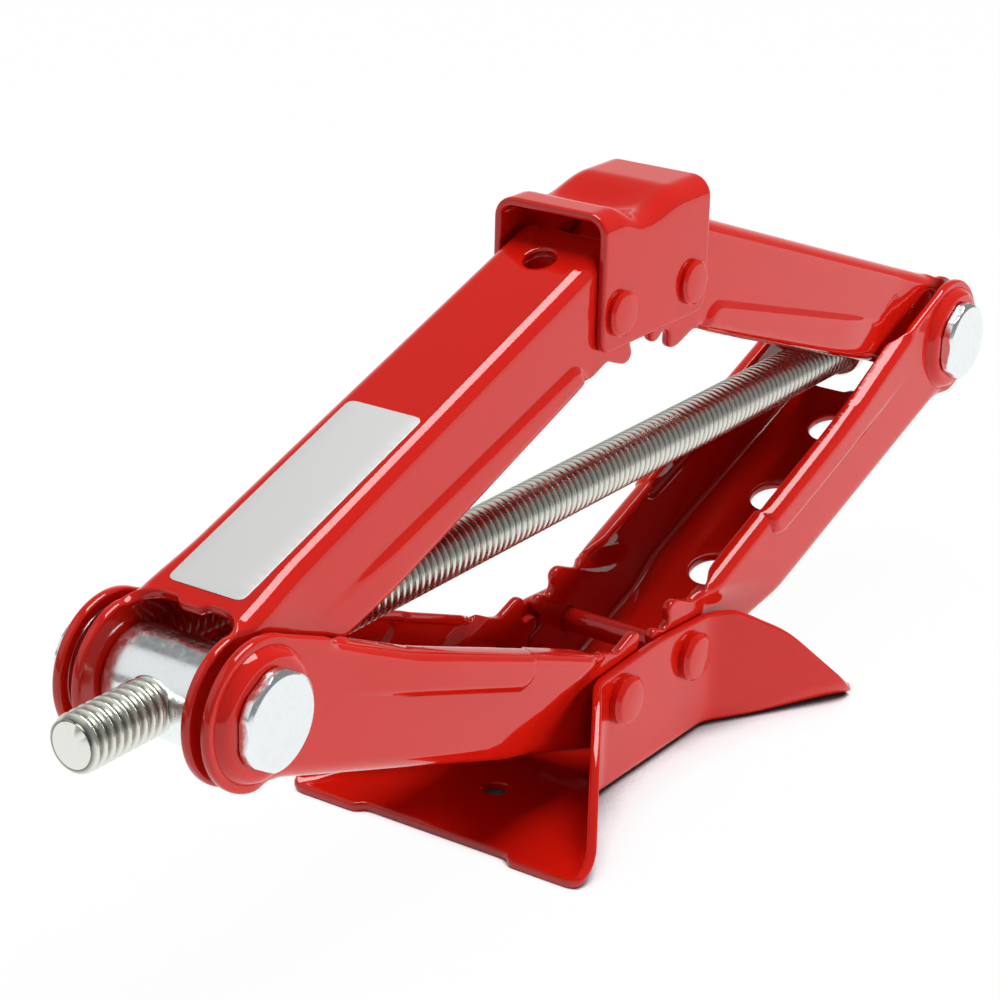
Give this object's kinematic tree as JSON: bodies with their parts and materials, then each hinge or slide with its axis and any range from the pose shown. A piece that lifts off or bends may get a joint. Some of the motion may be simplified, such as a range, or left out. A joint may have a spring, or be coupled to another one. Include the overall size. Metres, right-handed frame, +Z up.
{
  "type": "scissor jack",
  "caption": "Screw-driven scissor jack: pressed channel arms geared in pairs between a flared foot and a dished saddle, spread or drawn together by a lead screw between two trunnions.",
  "frame": {"origin": "on the floor, at the middle of the foot's underside", "axes": "+X along the lead screw towards its driven end, +Z up through the saddle"},
  "size_m": [0.4615, 0.109, 0.1839],
  "materials": {
    "red_enamel": "thick gloss enamel over pressed steel sheet",
    "zinc_plate": "clear zinc plating over turned steel",
    "screw_steel": "rolled thread, oiled"
  },
  "bodies": {
    "base": {"base_foot": "red_enamel", "base_pin_front": "red_enamel", "base_pin_rear": "red_enamel"},
    "lower_front": {"lower_arm_front": "red_enamel"},
    "lower_rear": {"lower_arm_rear": "red_enamel"},
    "front_trunnion": {"front_trunnion_nut": "zinc_plate", "pivot_bolt_front_near": "zinc_plate", "pivot_bolt_front_far": "zinc_plate", "spacer_front_near": "zinc_plate", "spacer_front_far": "zinc_plate"},
    "rear_trunnion": {"rear_trunnion": "zinc_plate", "pivot_bolt_rear_near": "zinc_plate", "pivot_bolt_rear_far": "zinc_plate", "spacer_rear_near": "zinc_plate", "spacer_rear_far": "zinc_plate"},
    "upper_front": {"upper_arm_front": "red_enamel"},
    "upper_rear": {"upper_arm_rear": "red_enamel"},
    "saddle": {"saddle": "red_enamel", "saddle_pin_front": "red_enamel", "saddle_pin_rear": "red_enamel"},
    "screw": {"lead_screw": "screw_steel", "stop_collar": "zinc_plate", "thrust_washer": "zinc_plate", "drive_head": "screw_steel", "drive_pin": "screw_steel"}
  },
  "joints": [
    {"name": "lower_front_pivot", "type": "hinge", "parent": "base", "child": "lower_front", "pos_m": [-0.0202, 0, 0.02993], "axis": [0, 1, 0], "range_deg": [-12.45, 42.65]},
    {"name": "front_trunnion_pivot", "type": "hinge", "parent": "lower_front", "child": "front_trunnion", "pos_m": [-0.1947, 0, 0.09138], "axis": [0, -1, 0], "range_deg": [-12.45, 42.65]},
    {"name": "upper_front_pivot", "type": "hinge", "parent": "front_trunnion", "child": "upper_front", "pos_m": [-0.1947, 0, 0.09138], "axis": [0, -1, 0], "range_deg": [-12.45, 42.65]},
    {"name": "saddle_pivot", "type": "hinge", "parent": "upper_front", "child": "saddle", "pos_m": [-0.0202, 0, 0.15283], "axis": [0, 1, 0], "range_deg": [-12.45, 42.65]},
    {"name": "lower_rear_pivot", "type": "hinge", "parent": "base", "child": "lower_rear", "pos_m": [0.0202, 0, 0.02993], "axis": [0, -1, 0], "range_deg": [-12.45, 42.65]},
    {"name": "rear_trunnion_pivot", "type": "hinge", "parent": "lower_rear", "child": "rear_trunnion", "pos_m": [0.1947, 0, 0.09138], "axis": [0, 1, 0], "range_deg": [-12.45, 42.65]},
    {"name": "upper_rear_pivot", "type": "hinge", "parent": "rear_trunnion", "child": "upper_rear", "pos_m": [0.1947, 0, 0.09138], "axis": [0, 1, 0], "range_deg": [-12.45, 42.65]},
    {"name": "screw_turn", "type": "hinge", "parent": "rear_trunnion", "child": "screw", "pos_m": [0.1947, 0, 0.09138], "axis": [-1, 0, 0], "range_deg": [-5259, 18011]}
  ],
  "couplings": [
    {"joint": "front_trunnion_pivot", "follows": "lower_front_pivot", "ratio": 1},
    {"joint": "upper_front_pivot", "follows": "lower_front_pivot", "ratio": 1},
    {"joint": "saddle_pivot", "follows": "lower_front_pivot", "ratio": 1},
    {"joint": "lower_rear_pivot", "follows": "lower_front_pivot", "ratio": 1},
    {"joint": "rear_trunnion_pivot", "follows": "lower_front_pivot", "ratio": 1},
    {"joint": "upper_rear_pivot", "follows": "lower_front_pivot", "ratio": 1},
    {"joint": "screw_turn", "follows": "lower_front_pivot", "ratio": 422.26}
  ]
}
